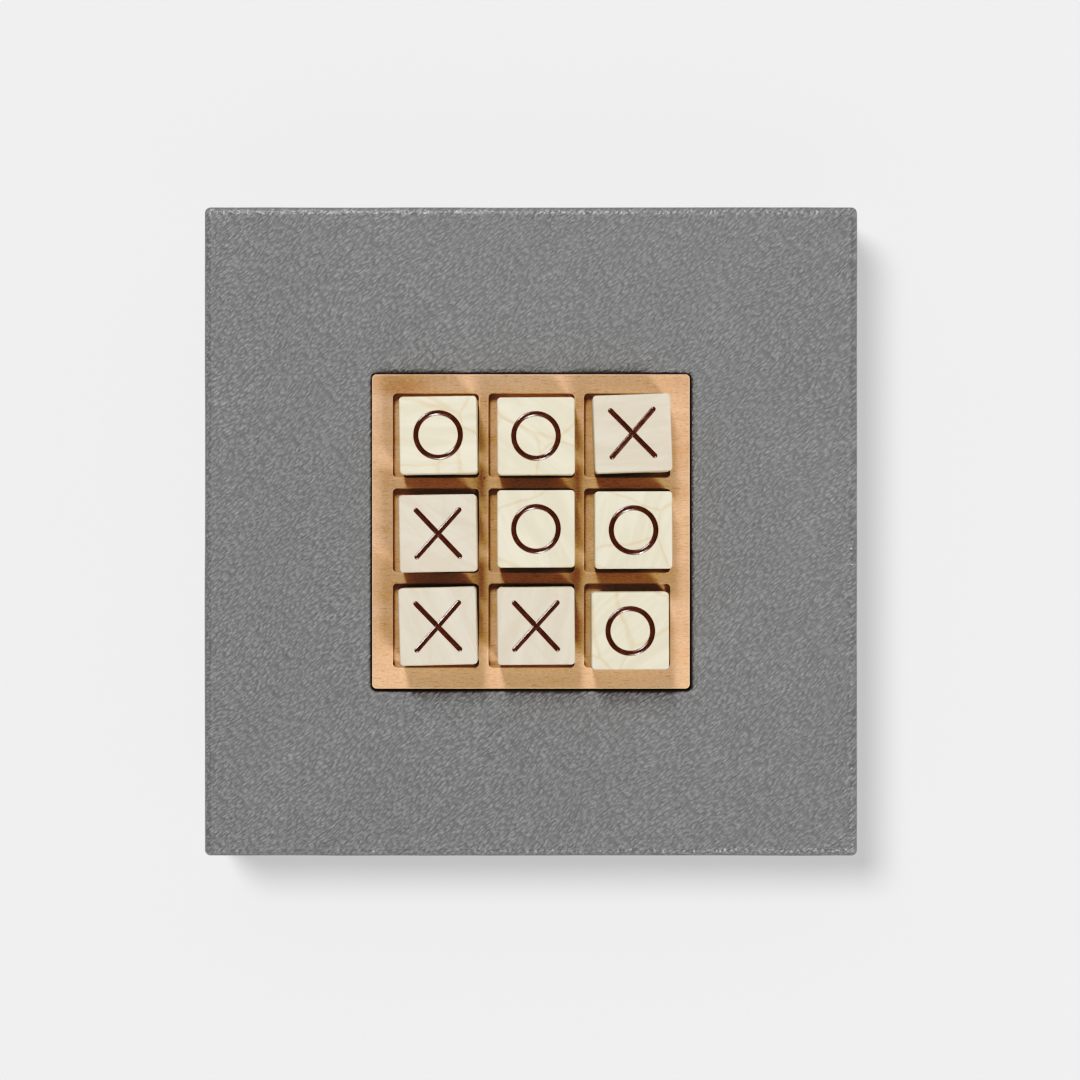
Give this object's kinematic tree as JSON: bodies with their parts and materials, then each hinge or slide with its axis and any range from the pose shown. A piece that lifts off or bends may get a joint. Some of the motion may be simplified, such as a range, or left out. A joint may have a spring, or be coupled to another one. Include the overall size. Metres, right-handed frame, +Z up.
{
  "type": "tic tac toe set",
  "caption": "Square leather-covered game board with a wooden tray of square pockets in its middle, and loose wooden blocks engraved with rings and crosses that stand in the pockets.",
  "frame": {"origin": "centre of the underside of the board, on the surface it rests on", "axes": "+Z up, +X to the right and +Y to the back for a person who reads the board from the front"},
  "size_m": [0.2158, 0.2144, 0.044],
  "materials": {
    "leather": "grey pebbled grain, semi-matt",
    "fibreboard": "raw medium-density fibreboard",
    "lining_felt": "dark grey pressed felt",
    "beech": "oiled beech, flat grain with short flecks",
    "pale_wood_o": "pale close-grained hardwood, satin",
    "pale_wood_x": "pale close-grained hardwood, slightly pinker, satin",
    "mark_paint": "glossy dark brown paint in an engraved groove"
  },
  "bodies": {
    "board": {"leather_cover": "leather", "rail_front": "fibreboard", "rail_back": "fibreboard", "rail_left": "fibreboard", "rail_right": "fibreboard", "base_board": "fibreboard", "base_lining": "lining_felt", "recess_lining": "lining_felt", "tray_floor": "beech", "tray_grid": "beech"},
    "o_block_1": {"o_block_1": "pale_wood_o", "o_mark_1": "mark_paint"},
    "o_block_2": {"o_block_2": "pale_wood_o", "o_mark_2": "mark_paint"},
    "x_block_1": {"x_block_1": "pale_wood_x", "x_mark_1": "mark_paint"},
    "x_block_2": {"x_block_2": "pale_wood_x", "x_mark_2": "mark_paint"},
    "o_block_3": {"o_block_3": "pale_wood_o", "o_mark_3": "mark_paint"},
    "o_block_4": {"o_block_4": "pale_wood_o", "o_mark_4": "mark_paint"},
    "x_block_3": {"x_block_3": "pale_wood_x", "x_mark_3": "mark_paint"},
    "x_block_4": {"x_block_4": "pale_wood_x", "x_mark_4": "mark_paint"},
    "o_block_5": {"o_block_5": "pale_wood_o", "o_mark_5": "mark_paint"}
  },
  "joints": [
    {"name": "o_block_1_lift", "type": "slide", "parent": "board", "child": "o_block_1", "axis": [0, 0, 1], "range_m": [0, 0.04]},
    {"name": "o_block_2_lift", "type": "slide", "parent": "board", "child": "o_block_2", "axis": [0, 0, 1], "range_m": [0, 0.04]},
    {"name": "x_block_1_lift", "type": "slide", "parent": "board", "child": "x_block_1", "axis": [0, 0, 1], "range_m": [0, 0.04]},
    {"name": "x_block_2_lift", "type": "slide", "parent": "board", "child": "x_block_2", "axis": [0, 0, 1], "range_m": [0, 0.04]},
    {"name": "o_block_3_lift", "type": "slide", "parent": "board", "child": "o_block_3", "axis": [0, 0, 1], "range_m": [0, 0.04]},
    {"name": "o_block_4_lift", "type": "slide", "parent": "board", "child": "o_block_4", "axis": [0, 0, 1], "range_m": [0, 0.04]},
    {"name": "x_block_3_lift", "type": "slide", "parent": "board", "child": "x_block_3", "axis": [0, 0, 1], "range_m": [0, 0.04]},
    {"name": "x_block_4_lift", "type": "slide", "parent": "board", "child": "x_block_4", "axis": [0, 0, 1], "range_m": [0, 0.04]},
    {"name": "o_block_5_lift", "type": "slide", "parent": "board", "child": "o_block_5", "axis": [0, 0, 1], "range_m": [0, 0.04]}
  ]
}
